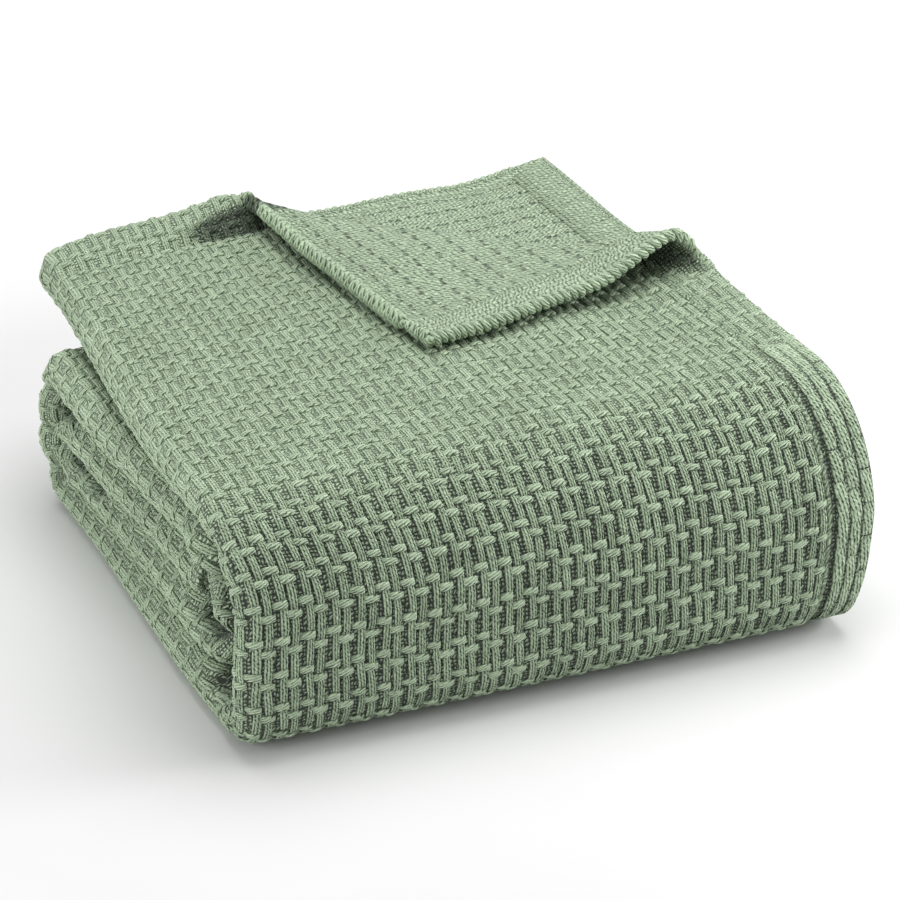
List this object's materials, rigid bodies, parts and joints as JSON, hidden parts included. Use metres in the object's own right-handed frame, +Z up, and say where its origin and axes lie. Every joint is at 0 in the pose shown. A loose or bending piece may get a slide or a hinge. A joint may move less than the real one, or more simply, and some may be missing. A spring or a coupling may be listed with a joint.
{
  "type": "folded cotton blanket",
  "caption": "Cotton basket-weave throw folded in four across its width and rolled flat into a pile, with the top rear corner turned back to show its hem.",
  "frame": {"origin": "on the surface the pile rests on, under the middle of its box", "axes": "+X along the pile's front to the right, where the hems are; +Y from the front to the rear; +Z up from the surface it rests on"},
  "size_m": [0.3485, 0.3893, 0.1414],
  "materials": {
    "sage_cotton": "matt loosely twisted cotton in a thick basket weave, soft sheen on the long floats"
  },
  "bodies": {
    "root": {"blanket": "sage_cotton"}
  },
  "joints": []
}
